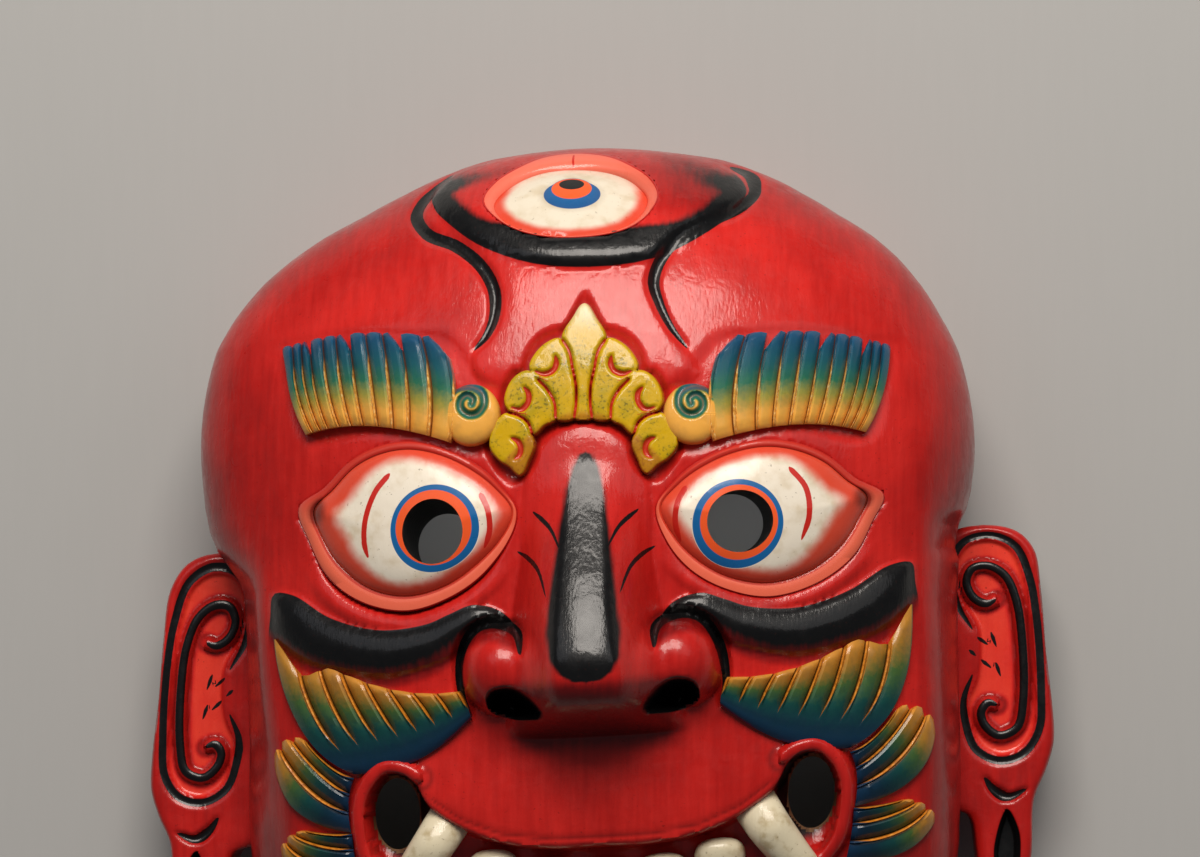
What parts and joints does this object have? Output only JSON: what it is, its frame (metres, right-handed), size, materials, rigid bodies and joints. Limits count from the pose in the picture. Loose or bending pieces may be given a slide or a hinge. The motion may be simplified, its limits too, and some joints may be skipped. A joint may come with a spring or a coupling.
{
  "type": "lakhey mask",
  "caption": "Hollow carved and painted dance mask with a fierce face: pierced round eyes, flame-like brows and whiskers, broad nose, fangs and long ears.",
  "frame": {"origin": "on the plane of the back rim, under the middle of the mask's box", "axes": "+X to the viewer's right, +Y towards the top of the head, +Z out of the face"},
  "size_m": [0.3414, 0.351, 0.1609],
  "materials": {
    "painted_wood": "brush-painted and glossily varnished"
  },
  "bodies": {
    "root": {"mask": "painted_wood"}
  },
  "joints": []
}
